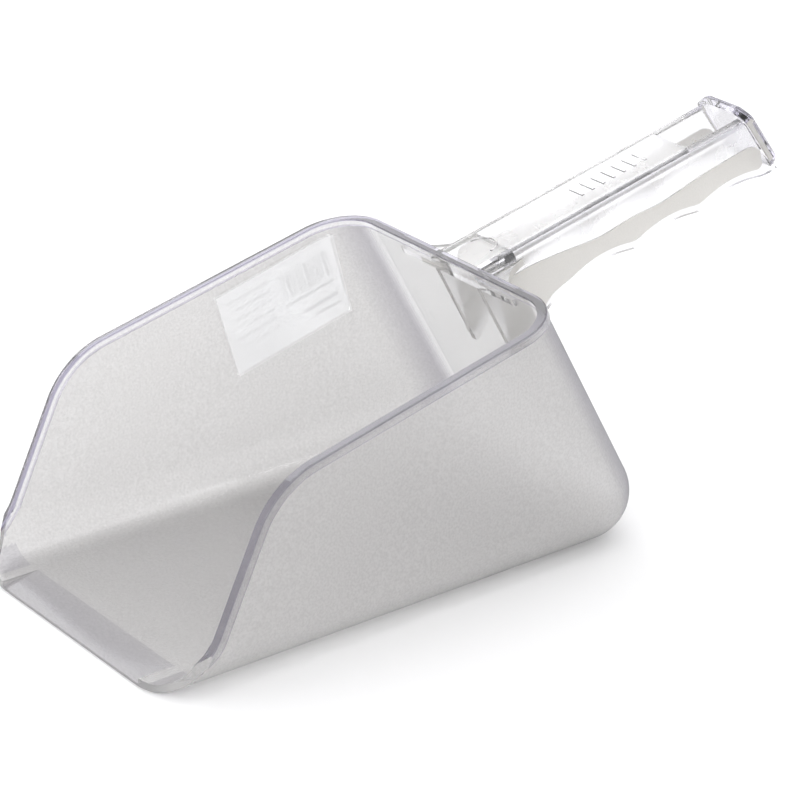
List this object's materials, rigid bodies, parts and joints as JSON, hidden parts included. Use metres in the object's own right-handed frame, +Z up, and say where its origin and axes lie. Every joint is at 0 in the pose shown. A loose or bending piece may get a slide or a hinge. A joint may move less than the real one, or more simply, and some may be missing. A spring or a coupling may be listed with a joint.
{
  "type": "ice scoop",
  "caption": "Clear moulded ice scoop: deep square bowl with swept sides and a bevelled lip, hollow finger grip, and a hanging slot at the handle's end.",
  "frame": {"origin": "middle of the flat floor face that the scoop rests on", "axes": "+Z up from the resting face, +Y toward the handle, the mouth at -Y, +X to the left hand of someone who holds it"},
  "size_m": [0.1396, 0.3176, 0.1338],
  "materials": {
    "satin_bowl": "clear polycarbonate with a fine satin on its faces",
    "clear_rim": "clear polycarbonate, polished, darker where it is seen edge on",
    "clear_handle": "clear polycarbonate, polished",
    "frosted_panel": "clear polycarbonate with a coarse frosted texture",
    "label": "white coated paper, with plain grey bars and lines as its print"
  },
  "bodies": {
    "root": {"floor_plate": "satin_bowl", "front_lip": "satin_bowl", "back_bottom_edge": "satin_bowl", "back_wall": "satin_bowl", "left_bottom_edge": "satin_bowl", "left_side_wall": "satin_bowl", "left_back_corner": "satin_bowl", "right_bottom_edge": "satin_bowl", "right_side_wall": "satin_bowl", "right_back_corner": "satin_bowl", "back_rim": "clear_rim", "left_rim": "clear_rim", "left_rim_corner": "clear_rim", "right_rim": "clear_rim", "right_rim_corner": "clear_rim", "top_web": "clear_handle", "left_cheek": "clear_handle", "right_cheek": "clear_handle", "root_bridge": "clear_handle", "left_root_shelf": "clear_handle", "right_root_shelf": "clear_handle", "end_cap": "clear_handle", "web_bars": "clear_handle", "gate_mark": "clear_handle", "left_grip_panel": "frosted_panel", "right_grip_panel": "frosted_panel", "price_label": "label"}
  },
  "joints": []
}
